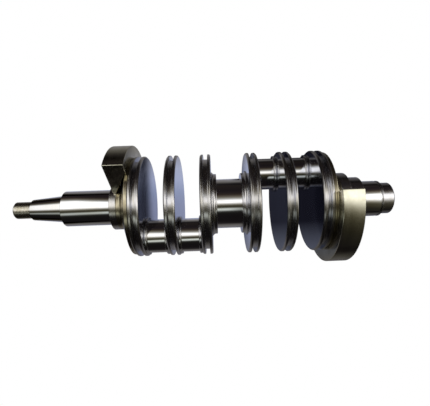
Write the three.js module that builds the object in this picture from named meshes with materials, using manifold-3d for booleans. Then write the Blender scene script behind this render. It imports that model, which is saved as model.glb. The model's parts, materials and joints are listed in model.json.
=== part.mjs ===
// Crankshaft of a small 90-degree V4 two-stroke outboard engine, in millimetres.
// It is one steel forging, machined all over. The model takes it apart at the shoulders
// that a machinist would name: threaded nose, flywheel taper, main journals, webs,
// counterweights, six full-circle seal discs with their ring grooves, four crankpins with
// their thrust collars, bearing seats, retaining-ring neck and splined drive end.
// X runs along the crank axis, from the threaded nose to the drive end, and the origin is
// on that axis halfway along the shaft. +Z is up as the crank lies on a bench, rolled onto
// the flywheel-side counterweight.
import * as THREE from "three";
import { mergeVertices } from "three/addons/utils/BufferGeometryUtils.js";
import Module from "manifold-3d";

// ---- driving dimensions (mm) ----
// Throws
const throwRadius = 35.8;
const pinRadius = 18.2;
const pinSpan = 24.4;
const pinCollarRise = 2.8;
const pinCollarWidth = 3;
// Centre main journal, between its two collars
const centreJournalRadius = 27.9;
const centreJournalLength = 27;
const centreCollarRise = 6.1;
const centreCollarWidth = 5.75;
const centreCollarFillet = 2.6;
// Seal discs, whose rims stand a little beyond the crankpins
const rimBeyondPin = 2.3;
const discWidth = 11.5;
const discBevel = 1.2;
const ringGrooveWidth = 4.9;
const ringGrooveDepth = 5.6;
// Webs and counterweights, set in and out from the discs' rims
const webInset = 2;
const webRimWidth = 3.7;
const webConeLength = 15.8;
const counterweightRise = 12.5;
const counterweightWidth = 21.3;
const counterweightClearance = 1.95;
const counterweightHalfSpan = THREE.MathUtils.degToRad(75.8);
// Flywheel side: shoulder, journal, taper and threaded nose
const topShoulderRise = 5.5;
const topShoulderLength = 7.85;
const topJournalRadius = 20;
const topJournalLength = 54.7;
const taperLength = 37.6;
const taperSlope = 0.097;
const noseRadius = 9.5;
const noseStep = 2.2;
const noseLength = 20.2;
// Flywheel key, a half-moon key let into the taper
const keyWidth = 4.8;
const keyDiscRadius = 9.5;
const keyAboveTaper = 2;
const keyFromLargeEnd = 16;
// Drive side: bearing seats, journal, retaining-ring neck and splined sleeve
const bearingBossRise = 5.3;
const bearingBossLength = 10.4;
const lowerWebConeLength = 13.25;
const sealBossRise = 5;
const sealBossLength = 15.8;
const lowerJournalRadius = 20;
const lowerJournalLength = 19.5;
const ringNeckWidth = 1.85;
const ringNeckDepth = 1.1;
const ringLipWidth = 1.6;
const sleeveStep = 2.5;
const sleeveLength = 12.6;
const splineRootRadius = 12.2;
const splineToothHeight = 1.6;
const splineTeeth = 13;
const socketDepth = 30;
// Edges, clearances and the roll at which the crank lies
const endBevel = 1.2;
const splitGap = 0.02;
const cutGap = 0.3;
const keyClearance = 0.3;
const benchRoll = THREE.MathUtils.degToRad(22.64);
const roundSegments = 40;
const smallSegments = 24;
const collarSegments = 14;

const wasm = await Module();
wasm.setup();

// ---- materials ----
const groundSteel = new THREE.MeshStandardMaterial({ color: 0xc9c8c4, roughness: 0.12, metalness: 1 });
const turnedSteel = new THREE.MeshStandardMaterial({ color: 0xa8a7a6, roughness: 0.22, metalness: 1 });
const forgedSteel = new THREE.MeshStandardMaterial({ color: 0x77736c, roughness: 0.38, metalness: 1 });
const threadSteel = new THREE.MeshStandardMaterial({ color: 0x8f8b82, roughness: 0.3, metalness: 1 });

// ---- radii that follow from them ----
const pinCollarRadius = pinRadius + pinCollarRise;
const centreCollarRadius = centreJournalRadius + centreCollarRise;
const discRadius = throwRadius + pinRadius + rimBeyondPin;
const webRadius = discRadius - webInset;
const counterweightRadius = discRadius + counterweightRise;
const topShoulderRadius = topJournalRadius + topShoulderRise;
const taperSmallRadius = noseRadius + noseStep;
const taperLargeRadius = taperSmallRadius + taperSlope * taperLength;
const sealBossRadius = lowerJournalRadius + sealBossRise;
const bearingBossRadius = sealBossRadius + bearingBossRise;
const sleeveRadius = lowerJournalRadius - sleeveStep;

// ---- stations, each a distance from the middle of the centre journal ----
const collarInner = centreJournalLength / 2;
const innerDiscInner = collarInner + centreCollarWidth;
const innerPin = innerDiscInner + discWidth;
const middleDiscInner = innerPin + pinSpan;
const outerPin = middleDiscInner + discWidth;
const outerDiscInner = outerPin + pinSpan;
const webInner = outerDiscInner + discWidth;
const counterweightInner = webInner + counterweightClearance;
const webConeStart = webInner + webRimWidth;

const topShoulderStart = webConeStart + webConeLength;
const topJournalStart = topShoulderStart + topShoulderLength;
const taperStart = topJournalStart + topJournalLength;
const noseStart = taperStart + taperLength;
const noseEnd = noseStart + noseLength;

const bearingBossStart = webConeStart + lowerWebConeLength;
const sealBossStart = bearingBossStart + bearingBossLength;
const lowerJournalStart = sealBossStart + sealBossLength;
const ringNeckStart = lowerJournalStart + lowerJournalLength;
const sleeveStart = ringNeckStart + ringNeckWidth + ringLipWidth;
const sleeveEnd = sleeveStart + sleeveLength;
const socketFloor = sleeveEnd - socketDepth;
const shaftMiddle = (sleeveEnd - noseEnd) / 2;

const FLYWHEEL_SIDE = -1;
const DRIVE_SIDE = 1;

// ---- geometry helpers ----
// A closed profile of [distance outward, radius] points, turned about the X axis. The
// distances grow away from the centre journal, towards the side that is named.
function turnedGeometry(side, outline, segments = roundSegments) {
  const points = outline.map(([along, radius]) => new THREE.Vector2(radius, side * along));
  if (side === FLYWHEEL_SIDE) {
    points.reverse();
  }
  const geometry = new THREE.LatheGeometry(points, segments);
  geometry.rotateZ(-Math.PI / 2);
  return geometry;
}

// A solid turned section: its outline is closed onto the axis at both of its faces.
function solidOutline(outline) {
  const first = outline[0];
  const last = outline[outline.length - 1];
  return [[first[0], 0], ...outline, [last[0], 0]];
}

// The outline of a plain cylinder, with the hairline left at its outer face. That face is
// parted where the smaller section beyond it begins, so what is left is a true ring.
function plainOutline(from, to, radius, nextRadius) {
  const end = to - splitGap;
  return solidOutline([[from, radius], [end, radius], [end, nextRadius]]);
}

// A section of the drive end: solid as far as the socket's floor, and a tube from there on.
function socketOutline(from, to, radius, nextRadius) {
  const end = to - splitGap;
  if (socketFloor >= end) {
    return plainOutline(from, to, radius, nextRadius);
  }
  const skin = [[from, radius], [end, radius], [end, nextRadius], [end, splineRootRadius]];
  if (socketFloor <= from) {
    return [[from, splineRootRadius], ...skin, [from, splineRootRadius]];
  }
  return [[from, 0], ...skin, [socketFloor, splineRootRadius], [socketFloor, 0]];
}

function toManifold(geometry) {
  const bare = geometry.clone();
  bare.deleteAttribute("normal");
  bare.deleteAttribute("uv");
  const merged = mergeVertices(bare, 1e-4);
  const mesh = new wasm.Mesh({
    numProp: 3,
    vertProperties: new Float32Array(merged.attributes.position.array),
    triVerts: new Uint32Array(merged.index.array),
  });
  return new wasm.Manifold(mesh);
}

function fromManifold(solid) {
  const mesh = solid.getMesh();
  const geometry = new THREE.BufferGeometry();
  geometry.setAttribute("position", new THREE.BufferAttribute(mesh.vertProperties, 3));
  geometry.setIndex(new THREE.BufferAttribute(mesh.triVerts, 1));
  geometry.computeVertexNormals();
  return geometry;
}

// A flat outline in the plane across the shaft, drawn with the first axis along the throw
// of the side that is named, and extruded along X between two distances.
function crossExtrusion(side, shape, from, to, curveSegments = smallSegments) {
  const geometry = new THREE.ExtrudeGeometry(shape, {
    depth: to - from,
    bevelEnabled: false,
    curveSegments,
  });
  geometry.translate(0, 0, from);
  // extrusion axis onto +X, first outline axis onto +Y, second onto +Z
  geometry.applyMatrix4(new THREE.Matrix4().set(0, 0, 1, 0, 1, 0, 0, 0, 0, 1, 0, 0, 0, 0, 0, 1));
  if (side === FLYWHEEL_SIDE) {
    geometry.rotateZ(Math.PI);
  }
  return geometry;
}

const crank = new THREE.Group();

function addPiece(name, geometry, material) {
  const mesh = new THREE.Mesh(geometry, material);
  mesh.name = name;
  crank.add(mesh);
  return mesh;
}

// ---- centre main journal and its collars ----
function centreJournal() {
  const outline = solidOutline([
    [-collarInner, centreJournalRadius],
    [collarInner - splitGap, centreJournalRadius],
  ]);
  addPiece("centre_main_journal", turnedGeometry(DRIVE_SIDE, outline), groundSteel);
}

function centreCollar(name, side) {
  const outline = solidOutline([
    [collarInner, centreCollarRadius],
    [innerDiscInner - centreCollarFillet, centreCollarRadius],
    [innerDiscInner - splitGap, centreCollarRadius + centreCollarFillet],
  ]);
  addPiece(name, turnedGeometry(side, outline), turnedSteel);
}

// ---- seal discs: full circles with bevelled rims and one ring groove ----
function sealDisc(name, side, from) {
  const to = from + discWidth - splitGap;
  const middle = from + discWidth / 2;
  const grooveFrom = middle - ringGrooveWidth / 2;
  const grooveTo = middle + ringGrooveWidth / 2;
  const grooveFloor = discRadius - ringGrooveDepth;
  const outline = solidOutline([
    [from, discRadius - discBevel],
    [from + discBevel, discRadius],
    [grooveFrom, discRadius],
    [grooveFrom, grooveFloor],
    [grooveTo, grooveFloor],
    [grooveTo, discRadius],
    [to - discBevel, discRadius],
    [to, discRadius - discBevel],
  ]);
  addPiece(name, turnedGeometry(side, outline), turnedSteel);
}

// ---- crankpins with their thrust collars ----
function crankpin(name, side, from) {
  const length = pinSpan - 2 * pinCollarWidth - splitGap;
  const pin = new THREE.CylinderGeometry(pinRadius, pinRadius, length, smallSegments);
  pin.rotateZ(-Math.PI / 2);
  const mesh = addPiece(name, pin, groundSteel);
  mesh.position.set(side * (from + pinSpan / 2), side * throwRadius, 0);
}

// The collar is round about its pin, and turned down to the disc's rim where it would pass it.
function collarShape() {
  const rim = discRadius - discBevel;
  const reach = throwRadius + pinCollarRadius;
  const shape = new THREE.Shape();
  if (reach <= rim) {
    shape.absarc(throwRadius, 0, pinCollarRadius, 0, 2 * Math.PI, false);
    return shape;
  }
  const crossX = (rim ** 2 - pinCollarRadius ** 2 + throwRadius ** 2) / (2 * throwRadius);
  const crossY = Math.sqrt(rim ** 2 - crossX ** 2);
  const collarAngle = Math.atan2(crossY, crossX - throwRadius);
  const rimAngle = Math.atan2(crossY, crossX);
  shape.absarc(throwRadius, 0, pinCollarRadius, collarAngle, 2 * Math.PI - collarAngle, false);
  shape.absarc(0, 0, rim, -rimAngle, rimAngle, false);
  return shape;
}

function pinCollar(name, side, from) {
  const geometry = crossExtrusion(side, collarShape(), from, from + pinCollarWidth - splitGap, collarSegments);
  addPiece(name, geometry, turnedSteel);
}

function throwPieces(number, side, from) {
  const outer = from + pinSpan - pinCollarWidth;
  pinCollar(`pin_${number}_collar_inner`, side, from);
  crankpin(`crankpin_${number}`, side, from);
  pinCollar(`pin_${number}_collar_outer`, side, outer);
}

// ---- webs: a rim against the outer disc, then a cone down to the shoulder ----
function web(name, side, shoulderStart, shoulderRadius) {
  const outline = solidOutline([
    [webInner, webRadius],
    [webConeStart, webRadius],
    [shoulderStart - splitGap, shoulderRadius],
  ]);
  addPiece(name, turnedGeometry(side, outline), forgedSteel);
}

// ---- counterweights: a sector opposite the nearest throw, let over the web's cone ----
function counterweight(name, side, shoulderStart, shoulderRadius) {
  const start = Math.PI - counterweightHalfSpan;
  const shape = new THREE.Shape();
  shape.moveTo(0, 0);
  shape.absarc(0, 0, counterweightRadius, start, start + 2 * counterweightHalfSpan, false);
  shape.lineTo(0, 0);
  const from = counterweightInner;
  const to = counterweightInner + counterweightWidth;
  const slab = toManifold(crossExtrusion(side, shape, from, to));
  const seat = solidOutline([
    [webInner - cutGap, webRadius + cutGap],
    [webConeStart, webRadius + cutGap],
    [shoulderStart, shoulderRadius + cutGap],
    [Math.max(to, shoulderStart) + cutGap, shoulderRadius + cutGap],
  ]);
  const cut = slab.subtract(toManifold(turnedGeometry(side, seat)));
  addPiece(name, fromManifold(cut), forgedSteel);
}

// ---- flywheel side ----
function topEnd() {
  const shoulder = plainOutline(topShoulderStart, topJournalStart, topShoulderRadius, topJournalRadius);
  addPiece("top_shoulder", turnedGeometry(FLYWHEEL_SIDE, shoulder), turnedSteel);

  const journal = plainOutline(topJournalStart, taperStart, topJournalRadius, taperLargeRadius);
  addPiece("top_main_journal", turnedGeometry(FLYWHEEL_SIDE, journal), groundSteel);

  const taper = solidOutline([
    [taperStart, taperLargeRadius],
    [noseStart - splitGap, taperSmallRadius],
  ]);
  const taperSolid = toManifold(turnedGeometry(FLYWHEEL_SIDE, taper));
  const keyCentre = taperStart + keyFromLargeEnd;
  const taperRadiusAtKey = taperLargeRadius - taperSlope * keyFromLargeEnd;
  const slot = keySolid(keyDiscRadius + keyClearance, keyWidth + 2 * keyClearance);
  placeKey(slot, keyCentre, taperRadiusAtKey + keyAboveTaper);
  addPiece("flywheel_taper", fromManifold(taperSolid.subtract(toManifold(slot))), groundSteel);

  const key = keySolid(keyDiscRadius, keyWidth);
  placeKey(key, keyCentre, taperRadiusAtKey + keyAboveTaper);
  addPiece("flywheel_key", key, threadSteel);

  const nose = solidOutline([
    [noseStart, noseRadius],
    [noseEnd - endBevel, noseRadius],
    [noseEnd, noseRadius - endBevel],
  ]);
  addPiece("threaded_nose", turnedGeometry(FLYWHEEL_SIDE, nose, smallSegments), threadSteel);
}

// Half a disc, flat side up: its flat is at zero height and it hangs below.
function keySolid(radius, width) {
  const shape = new THREE.Shape();
  shape.absarc(0, 0, radius, Math.PI, 2 * Math.PI, false);
  shape.closePath();
  const settings = { depth: width, bevelEnabled: false, curveSegments: collarSegments };
  const geometry = new THREE.ExtrudeGeometry(shape, settings);
  geometry.translate(0, 0, -width / 2);
  return geometry;
}

// The key stands in the plane of the shaft, its flat outward and away from the throws' plane.
function placeKey(geometry, along, height) {
  geometry.rotateX(-Math.PI / 2);
  geometry.translate(-along, 0, 0);
  geometry.translate(0, 0, -height);
}

// ---- drive side ----
function driveEnd() {
  const boss = socketOutline(bearingBossStart, sealBossStart, bearingBossRadius, sealBossRadius);
  addPiece("bearing_shoulder", turnedGeometry(DRIVE_SIDE, boss), turnedSteel);

  const sealBoss = socketOutline(sealBossStart, lowerJournalStart, sealBossRadius, lowerJournalRadius);
  addPiece("seal_land", turnedGeometry(DRIVE_SIDE, sealBoss), turnedSteel);

  const neckRadius = lowerJournalRadius - ringNeckDepth;
  const journal = socketOutline(lowerJournalStart, ringNeckStart, lowerJournalRadius, neckRadius);
  addPiece("lower_main_journal", turnedGeometry(DRIVE_SIDE, journal), groundSteel);

  const lipStart = ringNeckStart + ringNeckWidth;
  const neck = [
    [ringNeckStart, splineRootRadius],
    [ringNeckStart, neckRadius],
    [lipStart, neckRadius],
    [lipStart, lowerJournalRadius],
    [sleeveStart - splitGap, lowerJournalRadius],
    [sleeveStart - splitGap, splineRootRadius],
    [ringNeckStart, splineRootRadius],
  ];
  addPiece("retaining_ring_neck", turnedGeometry(DRIVE_SIDE, neck), turnedSteel);
  addPiece("drive_sleeve", fromManifold(splinedSleeve()), turnedSteel);
}

// The sleeve is bored to the tips of its teeth, and the spaces between them are cut as one star.
function splinedSleeve() {
  const blank = solidOutline([
    [sleeveStart, sleeveRadius],
    [sleeveEnd - endBevel, sleeveRadius],
    [sleeveEnd, sleeveRadius - endBevel],
  ]);
  const star = new THREE.Shape();
  const tipRadius = splineRootRadius - splineToothHeight;
  const pitch = (2 * Math.PI) / splineTeeth;
  const corners = [[0.05, tipRadius], [0.2, splineRootRadius], [0.55, splineRootRadius], [0.7, tipRadius]];
  for (let tooth = 0; tooth < splineTeeth; tooth += 1) {
    for (const [share, radius] of corners) {
      const angle = (tooth + share) * pitch;
      const point = [radius * Math.cos(angle), radius * Math.sin(angle)];
      if (tooth === 0 && share === corners[0][0]) {
        star.moveTo(...point);
      } else {
        star.lineTo(...point);
      }
    }
  }
  star.closePath();
  const cutter = crossExtrusion(DRIVE_SIDE, star, sleeveStart - cutGap, sleeveEnd + cutGap);
  return toManifold(turnedGeometry(DRIVE_SIDE, blank)).subtract(toManifold(cutter));
}

// ---- assembly, from the middle outwards ----
centreJournal();
centreCollar("centre_collar_upper", FLYWHEEL_SIDE);
centreCollar("centre_collar_lower", DRIVE_SIDE);

const discStations = [innerDiscInner, middleDiscInner, outerDiscInner];
discStations.forEach((from, step) => {
  sealDisc(`seal_disc_${3 - step}`, FLYWHEEL_SIDE, from);
  sealDisc(`seal_disc_${4 + step}`, DRIVE_SIDE, from);
});

const pinStations = [innerPin, outerPin];
pinStations.forEach((from, step) => {
  throwPieces(2 - step, FLYWHEEL_SIDE, from);
  throwPieces(3 + step, DRIVE_SIDE, from);
});

web("upper_web", FLYWHEEL_SIDE, topShoulderStart, topShoulderRadius);
web("lower_web", DRIVE_SIDE, bearingBossStart, bearingBossRadius);
counterweight("upper_counterweight", FLYWHEEL_SIDE, topShoulderStart, topShoulderRadius);
counterweight("lower_counterweight", DRIVE_SIDE, bearingBossStart, bearingBossRadius);
topEnd();
driveEnd();

crank.position.x = -shaftMiddle;
crank.rotation.x = -benchRoll;
const model = new THREE.Group();
model.add(crank);

export default model;
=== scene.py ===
# %% [markdown]
# # The crankshaft of a small four-cylinder engine
# It is made as for a two-stroke V4 outboard, which its shape suggests. It is one steel
# forging, turned and ground all over: a threaded nose and taper for the flywheel,
# main journals, six seal discs with a ring groove each, four crankpins, two webs with their
# counterweights, and a splined drive end. The engineering model already fixes every size, so
# each piece here is measured from that model, made again with fine rounds and broken edges,
# and laid in the same place.

# %% Load the engineering model
import json
import math

import bmesh
import bpy
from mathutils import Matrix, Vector

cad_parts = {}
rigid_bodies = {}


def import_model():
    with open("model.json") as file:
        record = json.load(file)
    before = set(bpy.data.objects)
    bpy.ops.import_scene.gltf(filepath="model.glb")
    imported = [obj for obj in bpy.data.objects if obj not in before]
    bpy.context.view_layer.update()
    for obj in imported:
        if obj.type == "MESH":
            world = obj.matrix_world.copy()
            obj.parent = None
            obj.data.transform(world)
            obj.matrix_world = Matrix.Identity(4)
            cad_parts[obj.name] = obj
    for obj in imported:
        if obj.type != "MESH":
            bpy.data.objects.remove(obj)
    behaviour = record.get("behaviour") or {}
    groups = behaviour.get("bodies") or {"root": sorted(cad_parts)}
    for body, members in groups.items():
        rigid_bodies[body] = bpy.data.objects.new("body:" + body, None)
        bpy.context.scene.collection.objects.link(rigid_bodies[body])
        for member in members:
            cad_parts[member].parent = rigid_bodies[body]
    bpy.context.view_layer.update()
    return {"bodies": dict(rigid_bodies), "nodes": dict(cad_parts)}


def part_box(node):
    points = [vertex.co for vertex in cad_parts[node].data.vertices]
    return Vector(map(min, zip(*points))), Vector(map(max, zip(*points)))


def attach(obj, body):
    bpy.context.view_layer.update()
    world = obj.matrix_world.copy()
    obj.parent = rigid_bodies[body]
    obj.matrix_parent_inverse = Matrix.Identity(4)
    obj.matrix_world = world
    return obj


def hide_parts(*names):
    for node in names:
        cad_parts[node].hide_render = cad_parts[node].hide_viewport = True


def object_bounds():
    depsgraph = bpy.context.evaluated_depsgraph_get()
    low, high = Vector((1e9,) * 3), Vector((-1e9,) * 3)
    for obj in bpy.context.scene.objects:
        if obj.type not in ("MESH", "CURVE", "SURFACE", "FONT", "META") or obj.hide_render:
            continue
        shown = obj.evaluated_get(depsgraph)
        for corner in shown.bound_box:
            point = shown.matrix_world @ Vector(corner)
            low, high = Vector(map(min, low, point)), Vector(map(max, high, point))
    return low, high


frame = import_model()
CRANK = list(frame["bodies"])[0]
MM = 0.001

# %% [markdown]
# ## Measuring the model
# A turned piece is known by where it starts and ends along the shaft and by its radius. The
# model's rounds are many-sided, with their corners on the true circle, so the largest
# distance from the axis is the real radius. X runs along the shaft in every piece.


# %% Stations and radii from the model
SAME = 0.02 * MM  # stations and radii closer than this are taken as one
DECIMALS = 5  # of a metre, so a hundredth of a millimetre


def corners(node):
    return [vertex.co for vertex in frame["nodes"][node].data.vertices]


def stretch(node):
    """Where the piece starts and ends along the shaft."""
    low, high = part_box(node)
    return low.x, high.x


def radius(node, axis=(0.0, 0.0)):
    """The piece's largest distance from a line along X through axis, given as (y, z)."""
    return max(math.hypot(c.y - axis[0], c.z - axis[1]) for c in corners(node))


def radii_at(node, station):
    """The radii, small to large, of the model's rings at one station along the shaft."""
    ring = [c for c in corners(node) if abs(c.x - station) < SAME]
    return sorted({round(math.hypot(c.y, c.z), DECIMALS) for c in ring})


def axis_of(node):
    """The (y, z) of a piece's own centre line."""
    low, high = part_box(node)
    middle = (low + high) / 2
    return middle.y, middle.z


FLYWHEEL_THROW = axis_of("crankpin_1")
DRIVE_THROW = axis_of("crankpin_4")
print("throw %.2f mm" % (math.hypot(*FLYWHEEL_THROW) / MM))

# %% [markdown]
# ## Colours and nodes
# Finishes are written as the sRGB hex values that a paint chart gives, and the shader wants
# linear light, so one function turns them. Another adds a node with its settings and links
# and, for a colour ramp, its stops.


# %% Colour and node helpers
def linear(code):
    """Linear red, green, blue and 1 from an sRGB hex code."""
    channels = [int(code[place : place + 2], 16) / 255 for place in (1, 3, 5)]
    turned_linear = [c / 12.92 if c <= 0.04045 else ((c + 0.055) / 1.055) ** 2.4 for c in channels]
    return (*turned_linear, 1.0)


def add(tree, kind, links=None, stops=None, **settings):
    """One node: its settings by name, and its inputs as values or as other nodes' outputs.

    The stops of a colour ramp are (place from 0 to 1, colour).
    """
    node = tree.nodes.new(kind)
    for name, value in settings.items():
        setattr(node, name, value)
    for key, value in (links or {}).items():
        if isinstance(value, bpy.types.NodeSocket):
            tree.links.new(value, node.inputs[key])
        else:
            node.inputs[key].default_value = value
    if stops:
        elements = node.color_ramp.elements
        elements.remove(elements[1])
        elements[0].position, elements[0].color = stops[0]
        for stop, colour in stops[1:]:
            elements.new(stop).color = colour
    return node


# A Mix node's colour sockets come after those for numbers and vectors.
SHARE, FIRST, SECOND, MIXED = 0, 6, 7, 2
BLENDED = {"data_type": "RGBA"}
MULTIPLIED = {"data_type": "RGBA", "blend_type": "MULTIPLY"}
ADDED = {"data_type": "RGBA", "blend_type": "ADD"}

print("orange for a test:", [round(c, 3) for c in linear("#ff8000")])

# %% [markdown]
# ## Bare steel, cut round and round
# Everything on this shaft has met a cutting edge or a grinding wheel while it turned, so its
# fine marks are rings: they follow the shaft on a cylinder and the radius on a face. A noise
# read at (distance along, distance out) draws both with one pattern. Real grinding marks are
# about 0.05 mm apart, too fine to show, so they are drawn several times coarser. Slow, wide
# noise breaks the gloss and leaves a faint straw tint where the oil film dries. Steel keeps
# the shader's default IOR; only the base colour, the roughness and the marks differ between
# a ground journal, a turned disc and a machined forging.


# %% A bare steel finish
BANDS = 0.12  # the slow bands' scale, as a share of the marks'
FILM_STARTS, FILM_FULL = 0.42, 0.72
WORN_LEAST, WORN_MOST = 0.6, 1.4


def bare_steel(name, clean, oily, roughness, spread, mark_pitch, mark_depth, tint_size, tint_share):
    """Steel with ring marks mark_pitch apart and mark_depth deep, in metres."""
    material = bpy.data.materials.new(name)
    material.use_nodes = True
    tree = material.node_tree
    shader = tree.nodes["Principled BSDF"]
    shader.inputs["Metallic"].default_value = 1.0

    place = add(tree, "ShaderNodeTexCoord").outputs["Object"]
    parts = add(tree, "ShaderNodeSeparateXYZ", {0: place}).outputs
    across = add(tree, "ShaderNodeCombineXYZ", {1: parts[1], 2: parts[2]}).outputs[0]
    out = add(tree, "ShaderNodeVectorMath", {0: across}, operation="LENGTH").outputs["Value"]
    rings = add(tree, "ShaderNodeCombineXYZ", {0: parts[0], 1: out}).outputs[0]

    marks = add(tree, "ShaderNodeTexNoise", {"Vector": rings, "Scale": 1 / mark_pitch, "Detail": 3.0})
    bands = add(tree, "ShaderNodeTexNoise", {"Vector": rings, "Scale": BANDS / mark_pitch, "Detail": 1.0})
    clouds = add(tree, "ShaderNodeTexNoise", {"Vector": place, "Scale": 1 / tint_size, "Detail": 4.0})
    film_range = {"Value": clouds.outputs["Fac"], "From Min": FILM_STARTS, "From Max": FILM_FULL}
    film = add(tree, "ShaderNodeMapRange", film_range).outputs[0]
    film_share = add(tree, "ShaderNodeMath", {0: film, 1: tint_share}, operation="MULTIPLY").outputs[0]
    tints = {SHARE: film_share, FIRST: linear(clean), SECOND: linear(oily)}
    colour = add(tree, "ShaderNodeMix", tints, **BLENDED).outputs[MIXED]
    tree.links.new(colour, shader.inputs["Base Color"])

    noises = {0: bands.outputs["Fac"], 1: clouds.outputs["Fac"]}
    worn = add(tree, "ShaderNodeMath", noises, operation="ADD").outputs[0]
    gloss_range = {
        "Value": worn,
        "From Min": WORN_LEAST,
        "From Max": WORN_MOST,
        "To Min": roughness - spread,
        "To Max": roughness + spread,
    }
    gloss = add(tree, "ShaderNodeMapRange", gloss_range)
    tree.links.new(gloss.outputs[0], shader.inputs["Roughness"])
    relief = {"Strength": 1.0, "Distance": mark_depth, "Height": marks.outputs["Fac"]}
    bump = add(tree, "ShaderNodeBump", relief)
    tree.links.new(bump.outputs[0], shader.inputs["Normal"])
    print("finish", name, "roughness about", roughness)
    return material


# %% [markdown]
# ## The seven finishes
# Ground: journals, pins and the taper, near a mirror, so lamps show in it as sharp bars.
# Ground cheeks: the discs' flat faces, a little softer and cooler. Turned: the rims and
# shoulders, where fine lathe rings widen each lamp to a soft glow. Machined forging: the
# counterweights, duller and warmer. Oiled webs: the same forging under a darker film of oil.
# Cut thread and key: plain bright bar steel, a little darker from handling.

# %% Make the ground and turned finishes
GROUND = bare_steel(
    "ground_journal_steel",
    clean="#cfcecd",
    oily="#b6ad98",
    roughness=0.07,
    spread=0.025,
    mark_pitch=0.35 * MM,
    mark_depth=0.0004 * MM,
    tint_size=22 * MM,
    tint_share=0.35,
)
CHEEK = bare_steel(
    "ground_cheek_steel",
    clean="#c3c6d0",
    oily="#adadb4",
    roughness=0.12,
    spread=0.03,
    mark_pitch=0.5 * MM,
    mark_depth=0.0006 * MM,
    tint_size=18 * MM,
    tint_share=0.4,
)
TURNED = bare_steel(
    "turned_rim_steel",
    clean="#b4b2b2",
    oily="#9c9479",
    roughness=0.2,
    spread=0.05,
    mark_pitch=0.45 * MM,
    mark_depth=0.002 * MM,
    tint_size=16 * MM,
    tint_share=0.5,
)

# %% Make the forged, threaded and key finishes
FORGED = bare_steel(
    "machined_forging_steel",
    clean="#c6c2ae",
    oily="#96907a",
    roughness=0.2,
    spread=0.05,
    mark_pitch=0.7 * MM,
    mark_depth=0.0025 * MM,
    tint_size=14 * MM,
    tint_share=0.5,
)
WEB = bare_steel(
    "oiled_web_steel",
    clean="#a59d86",
    oily="#6f6349",
    roughness=0.24,
    spread=0.06,
    mark_pitch=0.7 * MM,
    mark_depth=0.003 * MM,
    tint_size=12 * MM,
    tint_share=0.7,
)
THREAD = bare_steel(
    "cut_thread_steel",
    clean="#b0aca0",
    oily="#8f8564",
    roughness=0.2,
    spread=0.06,
    mark_pitch=0.3 * MM,
    mark_depth=0.001 * MM,
    tint_size=9 * MM,
    tint_share=0.5,
)
KEY = bare_steel(
    "bright_key_steel",
    clean="#b4b1a9",
    oily="#8d8467",
    roughness=0.28,
    spread=0.05,
    mark_pitch=0.4 * MM,
    mark_depth=0.003 * MM,
    tint_size=6 * MM,
    tint_share=0.5,
)

# %% [markdown]
# ## Turning a piece
# A lathe leaves a solid of revolution, so each piece is an outline of (along, radius) points
# swept about the shaft. A primitive cylinder would be quicker, but its edges stay knife sharp
# and never catch the light. Here every corner is broken with a small curve, and a support
# ring is left just outside each curve so that the flats beside it stay truly flat.


# %% Broken corners
BREAK = 0.35 * MM
SUPPORT = 0.06 * MM
BENDS = 4
SIDE_SHARE = 0.42  # the most of a side that a corner may take
SUPPORT_SHARE = 0.3  # the most of a corner's size that its support may stand off


def broken(outline):
    """The outline with each inner corner rounded; a third number in a point sets its size."""
    points = [Vector(point[:2]) for point in outline]
    made = [points[0]]
    for before, here, after, given in zip(points, points[1:], points[2:], outline[1:]):
        size = given[2] if len(given) > 2 else BREAK
        back, ahead = before - here, after - here
        size = min(size, back.length * SIDE_SHARE, ahead.length * SIDE_SHARE)
        if size < SUPPORT:
            made.append(here)
            continue
        first, last = here + back.normalized() * size, here + ahead.normalized() * size
        made.append(first + back.normalized() * min(SUPPORT, size * SUPPORT_SHARE))
        for bend in range(BENDS + 1):
            t = bend / BENDS
            made.append(first * (1 - t) ** 2 + here * 2 * t * (1 - t) + last * t**2)
        made.append(last + ahead.normalized() * min(SUPPORT, size * SUPPORT_SHARE))
    made.append(points[-1])
    return [(point.x, point.y) for point in made]


square = broken([(0, 0), (0, 10 * MM), (10 * MM, 10 * MM), (10 * MM, 0)])
print("a square corner becomes", len(square), "points")


# %% Put a finished mesh in the place of the model's pieces
def piece_from(name, bm, material, nodes, axis=(0.0, 0.0)):
    """Finish a mesh made about its own axis, and put it in place of the model's pieces."""
    bmesh.ops.recalc_face_normals(bm, faces=bm.faces)
    mesh = bpy.data.meshes.new(name)
    bm.to_mesh(mesh)
    bm.free()
    mesh.shade_smooth()
    piece = bpy.data.objects.new(name, mesh)
    bpy.context.scene.collection.objects.link(piece)
    piece.location = (0.0, *axis)
    mesh.materials.append(material)
    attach(piece, CRANK)
    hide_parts(*nodes)
    return piece


# %% Sweep an outline about the shaft
SPOKES = 128
TINY = 1e-9
WELD = 1e-7


def swept(outline, steps, start=0.0, turn=2 * math.pi):
    """The bmesh of an outline of (along, radius) points, swept about X. Whole turns close.

    A radius may be a function of the angle.
    """
    bm = bmesh.new()
    whole = abs(turn - 2 * math.pi) < TINY
    spokes = steps if whole else steps + 1
    rings = []
    for along, out in outline:
        if not callable(out) and out < TINY:
            rings.append([bm.verts.new((along, 0.0, 0.0))])
            continue
        ring = []
        for spoke in range(spokes):
            angle = start + turn * spoke / steps
            reach = out(angle) if callable(out) else out
            ring.append(bm.verts.new((along, reach * math.cos(angle), reach * math.sin(angle))))
        rings.append(ring)
    for near, far in zip(rings, rings[1:]):
        for spoke in range(steps):
            ahead = (spoke + 1) % spokes
            loop = [near[spoke % len(near)], near[ahead % len(near)]]
            loop += [far[ahead % len(far)], far[spoke % len(far)]]
            unique = list(dict.fromkeys(loop))
            if len(unique) > 2:
                bm.faces.new(unique)
    return bm


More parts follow.
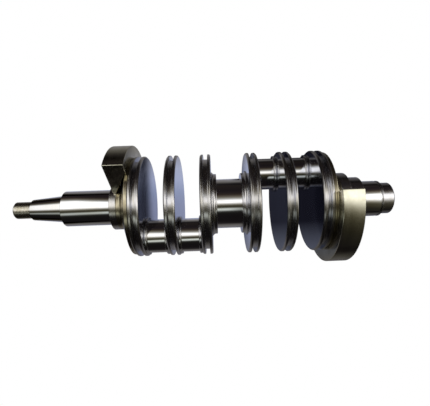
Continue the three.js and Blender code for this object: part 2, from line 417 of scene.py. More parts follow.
# %% Turned pieces
def turned(name, outline, material, axis=(0.0, 0.0), steps=SPOKES, ring=False):
    """A turned piece in place of the model's piece of the same name. A ring closes on itself."""
    bm = swept(broken(outline), steps)
    if ring:
        bmesh.ops.remove_doubles(bm, verts=bm.verts, dist=WELD)
    piece = piece_from(name + "_finished", bm, material, [name], axis)
    print(name, len(piece.data.polygons), "faces")
    return piece


def solid(outline):
    """Close an outline onto the axis at both ends."""
    return [(outline[0][0], 0.0), *outline, (outline[-1][0], 0.0)]


def cylinder(name, material, axis=(0.0, 0.0), steps=SPOKES, edge=BREAK):
    """A plain cylinder as long and as wide as the model's piece, with its edges broken."""
    start, end = stretch(name)
    reach = radius(name, axis)
    return turned(name, solid([(start, reach, edge), (end, reach, edge)]), material, axis, steps)


# %% [markdown]
# ## Centre main journal and its collars
# The middle bearing runs on a ground journal between two collars. The collars are turned
# with the discs, and open into a hollow curve where they meet the disc so that no sharp
# corner can start a crack. The curve is one large broken corner in the outline.

# %% Centre journal and collars
GROUND_EDGE = 0.1 * MM
COLLAR_EDGE = 0.8 * MM
FLARE_EDGE = 0.05 * MM

cylinder("centre_main_journal", GROUND, edge=GROUND_EDGE)
journal_middle = sum(stretch("centre_main_journal")) / 2
for name in ("centre_collar_upper", "centre_collar_lower"):
    start, end = stretch(name)
    outward = 1 if start > journal_middle else -1
    near, far = (start, end) if outward > 0 else (end, start)
    plain = radii_at(name, near)[-1]
    flare = radii_at(name, far)[-1]
    hollow = flare - plain
    outline = [
        (near, plain, COLLAR_EDGE),
        (far - outward * hollow, plain, hollow),
        (far, flare, FLARE_EDGE),
    ]
    turned(name, solid(outline), TURNED)

# %% [markdown]
# ## Six seal discs
# Each throw sits between full discs that seal the crankcase from one cylinder to the next.
# A ring groove runs in each rim, and the rim's edges are bevelled so that the ring's ends
# are not caught. The bevel and the groove come from the model; the groove's floor is round
# at its corners, as a parting tool leaves it.


# %% Seal discs
DISC_SPOKES = 192
GROOVE_LIP = 0.3 * MM
GROOVE_CORNER = 0.5 * MM
FLAT = 0.99  # how squarely a disc's face looks along the shaft
SMALL_FACE = MM * MM


def seal_disc(name):
    """A disc with its ring groove, and its two flat faces in the cheek finish."""
    start, end = stretch(name)
    rim = radius(name)
    face = radii_at(name, start)[-1]
    bevel = rim - face
    floor = min(math.hypot(c.y, c.z) for c in corners(name) if math.hypot(c.y, c.z) > rim / 2)
    on_floor = [c for c in corners(name) if abs(math.hypot(c.y, c.z) - floor) < SAME]
    groove = sorted({round(c.x, DECIMALS) for c in on_floor})
    outline = [
        (start, face),
        (start + bevel, rim),
        (groove[0], rim, GROOVE_LIP),
        (groove[0], floor, GROOVE_CORNER),
        (groove[-1], floor, GROOVE_CORNER),
        (groove[-1], rim, GROOVE_LIP),
        (end - bevel, rim),
        (end, face),
    ]
    disc = turned(name, solid(outline), TURNED, steps=DISC_SPOKES)
    disc.data.materials.append(CHEEK)
    for polygon in disc.data.polygons:
        cheek = abs(polygon.normal.x) > FLAT and polygon.area > SMALL_FACE
        polygon.material_index = 1 if cheek else 0


for number in range(1, 7):
    seal_disc(f"seal_disc_{number}")

# %% [markdown]
# ## Crankpins and their collars
# The pins carry the connecting rods' needle bearings, so they are the hardest and brightest
# surfaces. Each pin ends in a low thrust collar that keeps the rod off the disc. Where a
# collar would pass the disc's rim it was turned away with the rim, so its outline is a
# circle about the pin cut by a circle about the shaft.


# %% Pins
PIN_SPOKES = 96

for number in (1, 2, 3, 4):
    throw = FLYWHEEL_THROW if number < 3 else DRIVE_THROW
    cylinder(f"crankpin_{number}", GROUND, throw, PIN_SPOKES, GROUND_EDGE)


# %% Pin collars
def collar_reach(pin_axis, round_radius, rim):
    """How far the collar reaches from the pin's axis at each angle."""

    def reach(angle):
        toward = pin_axis[0] * math.cos(angle) + pin_axis[1] * math.sin(angle)
        to_rim = -toward + math.sqrt(toward**2 + rim**2 - pin_axis[0] ** 2 - pin_axis[1] ** 2)
        return min(round_radius, to_rim)

    return reach


COLLAR_BENDS = 5


def pin_collar(name, pin_axis):
    """A thrust collar with rounded edges, cut where the disc's rim passes."""
    start, end = stretch(name)
    round_radius = radius(name, pin_axis)
    rim = radius(name)
    quarter = [math.radians(90 * step / COLLAR_BENDS) for step in range(COLLAR_BENDS + 1)]
    rounded = [(COLLAR_EDGE * (1 - math.cos(turn)), COLLAR_EDGE * (1 - math.sin(turn))) for turn in quarter]
    edges = [(start + along, less) for along, less in rounded]
    edges += [(start + end - along, less) for along, less in reversed(edges)]
    outline = [(start, 0.0)]
    outline += [(along, collar_reach(pin_axis, round_radius - less, rim - less)) for along, less in edges]
    outline.append((end, 0.0))
    bm = swept(outline, PIN_SPOKES)
    piece_from(name + "_finished", bm, TURNED, [name], pin_axis)


for number in (1, 2, 3, 4):
    for side in ("inner", "outer"):
        pin_collar(f"pin_{number}_collar_{side}", FLYWHEEL_THROW if number < 3 else DRIVE_THROW)
print("8 thrust collars")

# %% [markdown]
# ## Webs
# Outside the last disc, each web narrows in a cone to the shoulder of its journal. It is
# the forging's own shape, skimmed on the lathe, with a wide hollow where the cone meets the
# shoulder.


# %% Webs
WEB_SPOKES = 160
WEB_HOLLOW = 5.0 * MM
WEB_EDGE = 0.5 * MM
CONE_EDGE = 0.7 * MM


def web(name):
    """A cone from the disc down to the journal's shoulder, hollowed where they meet."""
    start, end = stretch(name)
    rim = radius(name)
    outer = max((start, end), key=lambda station: -radii_at(name, station)[-1])
    inner = start + end - outer
    root = radii_at(name, outer)[-1]
    out = 1 if outer > inner else -1
    on_rim = [c.x for c in corners(name) if math.hypot(c.y, c.z) > rim - SAME]
    rim_end = max(on_rim, key=lambda station: station * out)
    outline = [
        (inner, rim, WEB_EDGE),
        (rim_end, rim, CONE_EDGE),
        (outer - out * WEB_HOLLOW, root, WEB_HOLLOW),
        (outer, root),
    ]
    turned(name, solid(outline), WEB, steps=WEB_SPOKES)


web("upper_web")
web("lower_web")

# %% [markdown]
# ## Counterweights
# Each counterweight is a thick horseshoe opposite its throw, let over the cone of the web.
# Its section is swept only part of the way round and capped at both ends, which a plain disc
# with a boolean cut would do less cleanly. Then every sharp edge gets a bevel, because the
# long bright line on the front edge is such a bevel catching the lamp.


# %% Counterweights
SWEEP_STEPS = 96
SEAT_SLACK = 0.3 * MM
CONE_GAP = 0.1 * MM
SHARP = math.radians(25)
COUNTERWEIGHT_BEVEL = 1.6 * MM


def counterweight(name):
    """A horseshoe over the web's cone, swept between its two cut faces and bevelled."""
    start, end = stretch(name)
    rim = radius(name)
    out = 1 if start > 0 else -1
    inner, outer = (start, end) if out > 0 else (end, start)
    reaches = [(c.x, math.hypot(c.y, c.z)) for c in corners(name)]
    seat = {(round(x, DECIMALS), round(r, DECIMALS)) for x, r in reaches if r < rim - MM}
    heavy = axis_of(name)
    rough = math.atan2(heavy[1], heavy[0])
    turns = [(math.atan2(c.z, c.y) - rough + math.pi) % (2 * math.pi) - math.pi for c in corners(name)]
    middle = rough + (min(turns) + max(turns)) / 2
    reach = (max(turns) - min(turns)) / 2
    inner_reach = max(r for x, r in seat if abs(x - inner) < SAME)
    outer_reach = min(r for x, r in seat if abs(x - outer) < SAME)
    cone_start = max(x * out for x, r in seat if r > inner_reach - SEAT_SLACK) * out
    cone_end = min(x * out for x, r in seat if r < outer_reach + SEAT_SLACK) * out
    section = [(inner, inner_reach), (inner, rim), (outer, rim), (outer, outer_reach)]
    if abs(cone_end - outer) > CONE_GAP:
        section.append((cone_end, outer_reach))
    section.append((cone_start, inner_reach))
    bm = swept([*section, section[0]], SWEEP_STEPS, middle - reach, 2 * reach)
    bmesh.ops.remove_doubles(bm, verts=bm.verts, dist=WELD)
    bmesh.ops.holes_fill(bm, edges=bm.edges, sides=0)
    bmesh.ops.recalc_face_normals(bm, faces=bm.faces)
    sharp = [e for e in bm.edges if len(e.link_faces) == 2 and e.calc_face_angle() > SHARP]
    bmesh.ops.bevel(
        bm,
        geom=sharp,
        offset=COUNTERWEIGHT_BEVEL,
        segments=3,
        profile=0.5,
        affect="EDGES",
        clamp_overlap=True,
    )
    piece = piece_from(name + "_finished", bm, FORGED, [name])
    weighted = piece.modifiers.new("flat faces stay flat", "WEIGHTED_NORMAL")
    weighted.mode = "FACE_AREA"
    print(name, "reaches %.1f degrees each way," % math.degrees(reach), len(piece.data.polygons), "faces")


counterweight("upper_counterweight")
counterweight("lower_counterweight")

# %% [markdown]
# ## Flywheel end: shoulder, journal, taper and key
# The top bearing seats against the shoulder. Beyond the journal a smooth taper carries the
# flywheel, and a half-moon key in a matching slot stops it slipping. The slot is cut with a
# boolean, the one place where a cutter crosses a round surface.

# %% Shoulder and journal
SHOULDER_EDGE = 0.8 * MM
JOURNAL_EDGE = 0.6 * MM

cylinder("top_shoulder", TURNED, edge=SHOULDER_EDGE)
cylinder("top_main_journal", GROUND, edge=JOURNAL_EDGE)


# %% Taper and key
MOON_STEPS = 32
TAPER_EDGE = 0.5 * MM
KEY_FIT = 0.15 * MM
KEY_BEVEL = 0.3 * MM
SLOT_SHARP = math.radians(40)
KEY_SHARP = math.radians(30)


def span_along(node, direction):
    """The least and the greatest distance of the piece along a direction."""
    reach = [corner.dot(direction) for corner in corners(node)]
    return min(reach), max(reach)


def half_moon(flat, width, disc_radius, middle, outward, grow=0.0):
    """A half disc whose flat faces outward at the height flat, as a bmesh."""
    side = Vector((1, 0, 0)).cross(outward)
    bm = bmesh.new()
    faces = []
    for half in (-1, 1):
        rim = []
        for step in range(MOON_STEPS + 1):
            angle = math.pi * step / MOON_STEPS
            along = (disc_radius + grow) * math.cos(angle)
            depth = (disc_radius + grow) * math.sin(angle)
            centre = Vector((middle + along, 0, 0)) + outward * (flat - depth)
            rim.append(bm.verts.new(centre + side * half * (width / 2 + grow)))
        faces.append(rim)
        bm.faces.new(rim)
    for step in range(MOON_STEPS + 1):
        ahead = (step + 1) % (MOON_STEPS + 1)
        bm.faces.new([faces[0][step], faces[0][ahead], faces[1][ahead], faces[1][step]])
    return bm


start, end = stretch("flywheel_taper")
small_radius = radii_at("flywheel_taper", start)[-1]
large_radius = radii_at("flywheel_taper", end)[-1]
taper_outline = solid([(start, small_radius, TAPER_EDGE), (end, large_radius)])
taper = turned("flywheel_taper", taper_outline, GROUND)

key_y, key_z = axis_of("flywheel_key")
outward = Vector((0, key_y, key_z)).normalized()
key_start, key_end = stretch("flywheel_key")
key_low, key_flat = span_along("flywheel_key", outward)
key_side = span_along("flywheel_key", Vector((1, 0, 0)).cross(outward))
key_sizes = (key_flat, key_side[1] - key_side[0], key_flat - key_low, (key_start + key_end) / 2, outward)

cutter_mesh = bpy.data.meshes.new("key_slot_cutter")
cutter_bm = half_moon(*key_sizes, grow=KEY_FIT)
bmesh.ops.recalc_face_normals(cutter_bm, faces=cutter_bm.faces)
cutter_bm.to_mesh(cutter_mesh)
cutter_bm.free()
cutter = bpy.data.objects.new("key_slot_cutter", cutter_mesh)
bpy.context.scene.collection.objects.link(cutter)
cut = taper.modifiers.new("key slot", "BOOLEAN")
cut.object = cutter
cut.solver = "EXACT"
bpy.context.view_layer.update()
slotted = bpy.data.meshes.new_from_object(taper.evaluated_get(bpy.context.evaluated_depsgraph_get()))
taper.modifiers.clear()
taper.data = slotted
slotted.set_sharp_from_angle(angle=SLOT_SHARP)
bpy.data.objects.remove(cutter)

key_bm = half_moon(*key_sizes)
bmesh.ops.recalc_face_normals(key_bm, faces=key_bm.faces)
key_edges = [e for e in key_bm.edges if e.calc_face_angle() > SLOT_SHARP]
bmesh.ops.bevel(key_bm, geom=key_edges, offset=KEY_BEVEL, segments=2, profile=0.5, affect="EDGES")
key = piece_from("flywheel_key_finished", key_bm, KEY, ["flywheel_key"])
key.data.set_sharp_from_angle(angle=KEY_SHARP)
print("key %.1f mm wide;" % (key_sizes[1] / MM), len(slotted.polygons), "faces on the slotted taper")

# %% [markdown]
# ## Threaded nose
# The flywheel nut runs on a 19 mm thread of 16 turns to the inch. A bump map would leave the
# edge of the nose smooth, so the thread is real: every point of a fine grid on the nose is
# moved in or out by how far it is from the crest of a helix. The last turns fade into the
# chamfer and the centre drilling that the grinder held it by.

# %% Thread
THREAD_PITCH = 25.4 / 16 * MM
THREAD_DEPTH = 0.2 * THREAD_PITCH
SAMPLES = 12  # rings of points in each turn
THREAD_SPOKES = 96
CREST, FLANK = 0.62, 0.3  # shares of half a pitch; what is left is the root
FADE_TURNS = 2
THREAD_SHARP = math.radians(50)
DRILL_RADIUS = 2.4 * MM
DRILL_DEPTH = 3.6 * MM
DRILL_MOUTH = (0.3, 0.55)  # the drilling's bend, as shares of its depth and radius


def threaded_nose():
    """A nose whose radius follows a helix, with a chamfer and a centre drilling."""
    start, end = stretch("threaded_nose")
    crest = radius("threaded_nose")
    chamfer = crest - radii_at("threaded_nose", start)[-1]
    outline = [
        (start + DRILL_DEPTH, 0.0),
        (start + DRILL_MOUTH[0] * DRILL_DEPTH, DRILL_MOUTH[1] * DRILL_RADIUS),
        (start, DRILL_RADIUS),
    ]

    def at(along):
        end_fade = min(1.0, (end - along) / (FADE_TURNS * THREAD_PITCH))
        limit = min(crest, crest - chamfer + (along - start))

        def reach(angle):
            phase = (along / THREAD_PITCH - angle / (2 * math.pi)) % 1.0
            flank = max(0.0, min(1.0, (abs(phase - 0.5) * 2 - CREST) / FLANK))
            return min(limit, crest - THREAD_DEPTH * flank * max(0.0, end_fade))

        return reach

    count = int((end - start) / THREAD_PITCH * SAMPLES)
    for step in range(count + 1):
        along = start + (end - start) * step / count
        outline.append((along, at(along)))
    outline.append((end, 0.0))
    bm = swept(outline, THREAD_SPOKES)
    piece = piece_from("threaded_nose_finished", bm, THREAD, ["threaded_nose"])
    piece.data.set_sharp_from_angle(angle=THREAD_SHARP)
    print("thread of %.1f turns" % ((end - start) / THREAD_PITCH), len(piece.data.polygons), "faces")


threaded_nose()

# %% [markdown]
# ## Drive end
# Two stepped shoulders seat the lower bearing and its oil seal. The journal ends in a narrow
# neck for a retaining ring, then a smaller sleeve, and a splined socket runs in from the end
# for the drive shaft. The teeth are drawn into the sleeve by letting the bore's radius
# change with the angle.

# %% Shoulders and journal
cylinder("bearing_shoulder", TURNED, edge=SHOULDER_EDGE)
cylinder("seal_land", TURNED, edge=SHOULDER_EDGE)

start, end = stretch("lower_main_journal")
journal_radius = radius("lower_main_journal")
bore = radii_at("retaining_ring_neck", stretch("retaining_ring_neck")[0])[0]
in_bore = [c.x for c in corners("lower_main_journal") if abs(math.hypot(c.y, c.z) - bore) < SAME]
socket_floor = min(in_bore)
journal_outline = [
    (start, 0.0),
    (start, journal_radius),
    (end, journal_radius),
    (end, bore),
    (socket_floor, bore),
    (socket_floor, 0.0),
]
turned("lower_main_journal", journal_outline, GROUND)

# %% Ring neck
start, end = stretch("retaining_ring_neck")
lip = radius("retaining_ring_neck")
neck = radii_at("retaining_ring_neck", start)[-1]
on_lip = [c.x for c in corners("retaining_ring_neck") if abs(math.hypot(c.y, c.z) - lip) < SAME]
lip_start = min(on_lip)
neck_outline = [
    (start, bore),
    (start, neck),
    (lip_start, neck),
    (lip_start, lip),
    (end, lip),
    (end, bore),
    (start, bore),
]
turned("retaining_ring_neck", neck_outline, TURNED, ring=True)

# %% Splined sleeve
TEETH = 13
TOOTH_SPOKES = 20
HALF_TIP = 0.175  # of the spacing from tooth to tooth
ROOT_END, FLANK_RISE = 0.36, 0.28  # of the way from the root's middle to the tip's
SLEEVE_WALL = 2.5 * MM  # the least that the wall over the socket's roots can be
LEAD = 0.8 * MM  # the chamfer at the teeth's ends
SLEEVE_EDGE = 0.2 * MM
BOW = (0.5, 0.35)  # the rounded chamfer's middle, as shares of its length and rise
SPLINE_SHARP = math.radians(30)


def splined_sleeve():
    """A sleeve whose bore swings between the teeth's tips and roots with the angle."""
    start, end = stretch("drive_sleeve")
    outside = radius("drive_sleeve")
    chamfer = outside - max(radii_at("drive_sleeve", end))
    radii = [math.hypot(c.y, c.z) for c in corners("drive_sleeve")]
    tip = min(radii)
    root = max(r for r in radii if r < outside - SLEEVE_WALL)
    corner = next(c for c in corners("drive_sleeve") if math.hypot(c.y, c.z) < tip + SAME)
    offset = math.atan2(corner.z, corner.y)

    def tooth(extra):
        def reach(angle):
            spacing = (angle - offset) * TEETH / (2 * math.pi)
            rise = abs((spacing + HALF_TIP) % 1.0 - 0.5) * 2
            blend = max(0.0, min(1.0, (rise - ROOT_END) / FLANK_RISE))
            return min(root + extra, root - (root - tip) * blend + extra)

        return reach

    outline = [
        (start, tooth(0.0)),
        (start, outside - SLEEVE_EDGE),
        (start + SLEEVE_EDGE, outside),
        (end - chamfer, outside),
        (end - BOW[0] * chamfer, outside - BOW[1] * chamfer),
        (end, outside - chamfer),
        (end, tooth(LEAD)),
        (end - LEAD, tooth(0.0)),
        (start, tooth(0.0)),
    ]
    bm = swept(outline, TEETH * TOOTH_SPOKES)
    bmesh.ops.remove_doubles(bm, verts=bm.verts, dist=WELD)
    piece = piece_from("drive_sleeve_finished", bm, TURNED, ["drive_sleeve"])
    piece.data.set_sharp_from_angle(angle=SPLINE_SHARP)
    print("spline of", TEETH, "teeth,", len(piece.data.polygons), "faces")


splined_sleeve()

# %% [markdown]
# ## The table
# The table shows as clean paper. Polished steel shows whatever is round it, so reflections
# see painted light instead: a glow of lavender grey near the shaft, darker across, and dark
# brown beyond the nose. Two stretches under the throws are painted shade, a narrow one under
# the flywheel side and a wide one under the drive side, standing in for the throws' own shade.

# %% Table
TABLE_SIZE = 3.0
TABLE_GAP = 0.1 * MM
table_bm = bmesh.new()
bmesh.ops.create_grid(table_bm, x_segments=2, y_segments=2, size=TABLE_SIZE / 2)
table_mesh = bpy.data.meshes.new("table")
table_bm.to_mesh(table_mesh)
table_bm.free()
table = bpy.data.objects.new("table", table_mesh)
table.location.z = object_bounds()[0].z - TABLE_GAP
bpy.context.scene.collection.objects.link(table)
print("table %.1f m square, at %.1f mm" % (TABLE_SIZE, table.location.z / MM))

# %% Painted light and shade that reflections see on the table
PAINTED_REACH = 400 * MM
# painted light: the table's glow in reflections, lavender grey near the shaft, falling off across it
ACROSS = [
    (-400, "#262325"),
    (-300, "#3f3c3c"),
    (-200, "#6b6968"),
    (-150, "#7e7c7e"),
    (-75, "#87868c"),
    (-50, "#8c91a8"),
    (-20, "#8f96b2"),
    (0, "#949bb8"),
    (17, "#9ba5c4"),
    (35, "#b3bbd8"),
    (50, "#b6bcd4"),
    (75, "#98979d"),
    (150, "#848284"),
    (200, "#6b6968"),
    (300, "#3f3c3c"),
    (400, "#262325"),
]
# painted light along the shaft: full over the throws, dimmer towards the drive side, dark brown past the
# nose
ALONG = [
    (-400, "#3a3226"),
    (-290, "#4b4233"),
    (-245, "#8d8676"),
    (-218, "#ffffff"),
    (40, "#ffffff"),
    (120, "#c4c4c4"),
    (400, "#b0b0b0"),
]
# how deep the painted shade under the throws is along the shaft
SHADE = [
    (-400, 0.0),
    (-52, 0.0),
    (-43, 1.0),
    (-33, 0.9),
    (-27, 0.0),
    (38, 0.0),
    (50, 0.94),
    (86, 0.96),
    (97, 1.0),
    (152, 1.0),
    (166, 0.0),
]
SHADE_DEEP = linear("#1b1b24")
SHADE_THIN = linear("#5a5d69")
NEAR_EDGE = (-85 * MM, -70 * MM)  # the shade fades in across the shaft, and out again
FAR_EDGE = (120 * MM, 100 * MM)
THINS = (-28 * MM, -62 * MM)
print("cover of", len(ACROSS), "by", len(ALONG), "stops, shaded by", len(SHADE))


# %% Table material
def on_painted_floor(stops):
    """Stops in millimetres from the painted floor's middle as stops from 0 to 1."""
    return [(at * MM / PAINTED_REACH / 2 + 0.5, colour) for at, colour in stops]


paper = bpy.data.materials.new("pale_table")
paper.use_nodes = True
tree = paper.node_tree
tree.nodes.clear()
spot = add(tree, "ShaderNodeTexCoord").outputs["Object"]
spot_along, spot_across = add(tree, "ShaderNodeSeparateXYZ", {0: spot}).outputs[:2]
reach = {"From Min": -PAINTED_REACH, "From Max": PAINTED_REACH}
across = add(tree, "ShaderNodeMapRange", {"Value": spot_across, **reach}).outputs[0]
along = add(tree, "ShaderNodeMapRange", {"Value": spot_along, **reach}).outputs[0]

across_stops = on_painted_floor([(at, linear(code)) for at, code in ACROSS])
along_stops = on_painted_floor([(at, linear(code)) for at, code in ALONG])
shade_stops = on_painted_floor([(at, (deep, deep, deep, 1.0)) for at, deep in SHADE])
fall = add(tree, "ShaderNodeValToRGB", {"Fac": across}, stops=across_stops).outputs["Color"]
run = add(tree, "ShaderNodeValToRGB", {"Fac": along}, stops=along_stops).outputs["Color"]
shaded = add(tree, "ShaderNodeValToRGB", {"Fac": along}, stops=shade_stops).outputs["Color"]
# painted light of the open table, across times along
painted_floor_light = add(tree, "ShaderNodeMix", {SHARE: 1.0, FIRST: fall, SECOND: run}, **MULTIPLIED)

edges = []
for starts, full in (NEAR_EDGE, FAR_EDGE, THINS):
    edge_range = {"Value": spot_across, "From Min": starts, "From Max": full}
    edges.append(add(tree, "ShaderNodeMapRange", edge_range).outputs[0])
near_side, far_side, thin = edges
sides = add(tree, "ShaderNodeMath", {0: near_side, 1: far_side}, operation="MULTIPLY").outputs[0]
depth = add(tree, "ShaderNodeMath", {0: shaded, 1: sides}, operation="MULTIPLY").outputs[0]
shade = add(tree, "ShaderNodeMix", {SHARE: thin, FIRST: SHADE_DEEP, SECOND: SHADE_THIN}, **BLENDED)
painted_light_and_shade_parts = {SHARE: depth, FIRST: painted_floor_light.outputs[MIXED], SECOND: shade.outputs[MIXED]}
shown = add(tree, "ShaderNodeMix", painted_light_and_shade_parts, **BLENDED).outputs[MIXED]

# the camera sees plain white paper; every other ray sees the painted light and painted shade, as a glow
seen = add(tree, "ShaderNodeLightPath").outputs["Is Camera Ray"]
bright = add(tree, "ShaderNodeEmission", {"Color": linear("#ffffff"), "Strength": 1.0}).outputs[0]
painted_reflection_glow = add(tree, "ShaderNodeEmission", {"Color": shown}).outputs[0]
both = add(tree, "ShaderNodeMixShader", {0: seen, 1: painted_reflection_glow, 2: bright}).outputs[0]
add(tree, "ShaderNodeOutputMaterial", {"Surface": both})
table_mesh.materials.append(paper)
print("cover drawn with", len(tree.nodes), "nodes")

# %% [markdown]
# ## Studio light
# One long lamp hangs over the shaft, a little behind it, and a thin one in front. They are
# drawn into the sky as bars along the shaft: the angle off the zenith, across the shaft,
# picks the brightness from a ramp. Between and beyond the lamps the room is nearly black,
# which is what gives polished steel its contrast. The bars widen towards both ends of the
# shaft, and the thin one fades out towards the drive side.

# %% Lamps drawn into the sky
LAMP = [
    (-180, "#1d191c", 1.0),
    (-90, "#1c191b", 1.0),
    (-60, "#1a1819", 1.0),
    (-42, "#1f1e1d", 1.0),
    (-26, "#2a2820", 1.0),
    (-18, "#413e31", 1.0),
    (-12, "#4b483a", 1.0),
    (-8, "#6f6c5e", 1.0),
    (-4, "#b0ada2", 1.0),
    (0, "#f4f4f2", 1.1),
    (4, "#ffffff", 1.7),
    (8, "#ffffff", 2.1),
    (14, "#ffffff", 1.6),
    (18, "#fafcff", 1.0),
    (21, "#ccccc8", 1.0),
    (25, "#9f9c94", 1.0),
    (29, "#7f7a70", 1.0),
    (33, "#655d54", 1.0),
    (41, "#39312c", 1.0),
    (50, "#2c2628", 1.0),
    (60, "#241f22", 1.0),
    (90, "#2b2624", 1.0),
    (180, "#1d191c", 1.0),
]
STRIP = [
    (-180, "#000000", 1.0),
    (-46, "#000000", 1.0),
    (-40, "#20221f", 1.0),
    (-36, "#4a4c4b", 1.0),
    (-31, "#c8cfcc", 1.0),
    (-26, "#f0f8f4", 1.1),
    (-22, "#bcc2bc", 1.0),
    (-18, "#20221c", 1.0),
    (-14, "#000000", 1.0),
    (180, "#000000", 1.0),
]
LAMP_PEAK = 3.0
LAMP_MIDDLE = math.radians(9.0)
LAMP_SHARE = [
    (-1.0, 0.6),
    (-0.6, 1.0),
    (0.08, 1.0),
    (0.18, 0.9),
    (0.29, 0.75),
    (0.4, 1.3),
    (1.0, 1.2),
]
STRIP_SHARE = [
    (-1.0, 0.3),
    (-0.4, 0.75),
    (-0.2, 1.1),
    (-0.06, 1.15),
    (0.04, 1.0),
    (0.12, 0.0),
    (1.0, 0.0),
]
SHARE_PEAK = 1.3
print("lamps drawn with", len(LAMP), "and", len(STRIP), "stops")

# %% How the bars widen along the shaft
STEADY_LEAN = 0.31  # towards the drive side, the bars stay as they are up to this lean
NOSE_STRETCH, DRIVE_STRETCH, MOST_STRETCH = 3.3, 1.05, 0.6
NOSE_SQUEEZE, DRIVE_SQUEEZE, MOST_SQUEEZE = 0.45, 6.5, 2.6

sky = bpy.data.worlds.new("studio")
sky.use_nodes = True
bpy.context.scene.world = sky
tree = sky.node_tree
tree.nodes.clear()
toward = add(tree, "ShaderNodeTexCoord").outputs["Generated"]
sx, sy, sz = add(tree, "ShaderNodeSeparateXYZ", {0: toward}).outputs
cross = add(tree, "ShaderNodeCombineXYZ", {1: sy, 2: sz}).outputs[0]
cross_length = add(tree, "ShaderNodeVectorMath", {0: cross}, operation="LENGTH").outputs["Value"]
lean = add(tree, "ShaderNodeMath", {0: sx, 1: cross_length}, operation="DIVIDE").outputs[0]
nose_lean = add(tree, "ShaderNodeMath", {0: lean, 1: -1.0}, operation="MULTIPLY").outputs[0]
to_nose = add(tree, "ShaderNodeMath", {0: nose_lean, 1: 0.0}, operation="MAXIMUM").outputs[0]
past_steady = add(tree, "ShaderNodeMath", {0: lean, 1: STEADY_LEAN}, operation="SUBTRACT").outputs[0]
to_drive = add(tree, "ShaderNodeMath", {0: past_steady, 1: 0.0}, operation="MAXIMUM").outputs[0]

nose_square = add(tree, "ShaderNodeMath", {0: to_nose, 1: 2.0}, operation="POWER").outputs[0]
drive_part = add(tree, "ShaderNodeMath", {0: to_drive, 1: DRIVE_STRETCH}, operation="MULTIPLY").outputs[0]
stretch_terms = {0: nose_square, 1: NOSE_STRETCH, 2: drive_part}
all_stretch = add(tree, "ShaderNodeMath", stretch_terms, operation="MULTIPLY_ADD").outputs[0]
stretched = add(tree, "ShaderNodeMath", {0: all_stretch, 1: MOST_STRETCH}, operation="MINIMUM").outputs[0]
drive_terms = {0: to_drive, 1: DRIVE_SQUEEZE, 2: 1.0}
drive_squeeze = add(tree, "ShaderNodeMath", drive_terms, operation="MULTIPLY_ADD").outputs[0]
squeeze_terms = {0: to_nose, 1: NOSE_SQUEEZE, 2: drive_squeeze}
all_squeeze = add(tree, "ShaderNodeMath", squeeze_terms, operation="MULTIPLY_ADD").outputs[0]
squeezed = add(tree, "ShaderNodeMath", {0: all_squeeze, 1: MOST_SQUEEZE}, operation="MINIMUM").outputs[0]
print("stretch and squeeze in", len(tree.nodes), "nodes")

# %% The angle across the shaft
off_zenith = add(tree, "ShaderNodeMath", {0: sy, 1: sz}, operation="ARCTAN2").outputs[0]
from_lamp = add(tree, "ShaderNodeMath", {0: off_zenith, 1: LAMP_MIDDLE}, operation="SUBTRACT").outputs[0]
past_stretch = add(tree, "ShaderNodeMath", {0: from_lamp, 1: stretched}, operation="SUBTRACT").outputs[0]
beyond = add(tree, "ShaderNodeMath", {0: past_stretch, 1: 0.0}, operation="MAXIMUM").outputs[0]
near_lamp = add(tree, "ShaderNodeMath", {0: from_lamp, 1: 0.0}, operation="MINIMUM").outputs[0]
before = add(tree, "ShaderNodeMath", {0: near_lamp, 1: squeezed}, operation="DIVIDE").outputs[0]
off_middle = add(tree, "ShaderNodeMath", {0: beyond, 1: before}, operation="ADD").outputs[0]
angle = add(tree, "ShaderNodeMath", {0: off_middle, 1: LAMP_MIDDLE}, operation="ADD").outputs[0]
turn_terms = {0: angle, 1: 1 / (2 * math.pi), 2: 0.5}
turn_share = add(tree, "ShaderNodeMath", turn_terms, operation="MULTIPLY_ADD").outputs[0]
lean_capped = add(tree, "ShaderNodeMath", {0: lean, 1: 1.0}, operation="MINIMUM").outputs[0]
lean_held = add(tree, "ShaderNodeMath", {0: lean_capped, 1: -1.0}, operation="MAXIMUM").outputs[0]
lean_terms = {0: lean_held, 1: 0.5, 2: 0.5}
lean_share = add(tree, "ShaderNodeMath", lean_terms, operation="MULTIPLY_ADD").outputs[0]
print("angle and lean in", len(tree.nodes), "nodes")


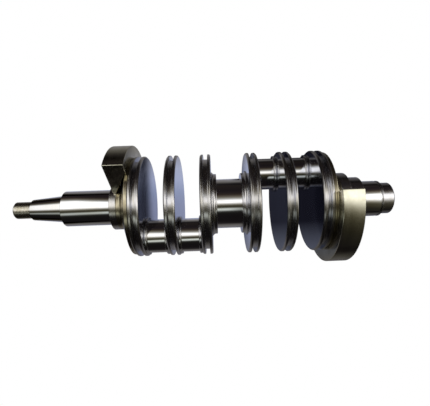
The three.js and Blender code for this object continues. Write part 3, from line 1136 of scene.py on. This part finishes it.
# %% The light at each angle
def bar_stops(bars):
    """Bars, as (degrees, colour, strength), as the stops of a ramp over the whole turn."""
    stops = []
    for degrees, code, strength in bars:
        colour = [channel * strength / LAMP_PEAK for channel in linear(code)[:3]]
        stops.append(((degrees + 180) / 360, (*colour, 1.0)))
    return stops


def share_stops(shares):
    """How much of a bar is left at each lean along the shaft, as the stops of a ramp."""
    levels = [((at + 1) / 2, left / SHARE_PEAK) for at, left in shares]
    return [(at, (level, level, level, 1.0)) for at, level in levels]


bars = []
for profile, left in ((LAMP, LAMP_SHARE), (STRIP, STRIP_SHARE)):
    light = add(tree, "ShaderNodeValToRGB", {"Fac": turn_share}, stops=bar_stops(profile))
    kept = add(tree, "ShaderNodeValToRGB", {"Fac": lean_share}, stops=share_stops(left))
    pair = {SHARE: 1.0, FIRST: light.outputs["Color"], SECOND: kept.outputs["Color"]}
    bars.append(add(tree, "ShaderNodeMix", pair, **MULTIPLIED).outputs[MIXED])
lamps = add(tree, "ShaderNodeMix", {SHARE: 1.0, FIRST: bars[0], SECOND: bars[1]}, **ADDED).outputs[MIXED]

lamp_strength = LAMP_PEAK * SHARE_PEAK
lamp_light = add(tree, "ShaderNodeBackground", {"Color": lamps, "Strength": lamp_strength}).outputs[0]
white = linear("#ffffff")
pale = add(tree, "ShaderNodeBackground", {"Color": white, "Strength": 1.0}).outputs[0]
sky_seen = add(tree, "ShaderNodeLightPath").outputs["Is Camera Ray"]
shown_sky = add(tree, "ShaderNodeMixShader", {0: sky_seen, 1: lamp_light, 2: pale}).outputs[0]
add(tree, "ShaderNodeOutputWorld", {"Surface": shown_sky})
print("sky of", len(tree.nodes), "nodes")

# %% [markdown]
# ## Camera
# It looks straight down on the shaft from a little under 40 cm with a wide lens, turned two
# degrees so that the shaft climbs to the right.

# %% Camera
lens = bpy.data.cameras.new("camera")
lens.sensor_width = 36.0
lens.lens = 27.36
lens.clip_start = 0.01
camera = bpy.data.objects.new("camera", lens)
camera.location = (14.9 * MM, 0.95 * MM, 374.2 * MM)
camera.rotation_euler = (0.0, 0.0, math.radians(-2.0))
bpy.context.scene.collection.objects.link(camera)
bpy.context.scene.camera = camera
bpy.context.scene.view_settings.view_transform = "Standard"
print("camera %.0f mm above the shaft" % (camera.location.z / MM))
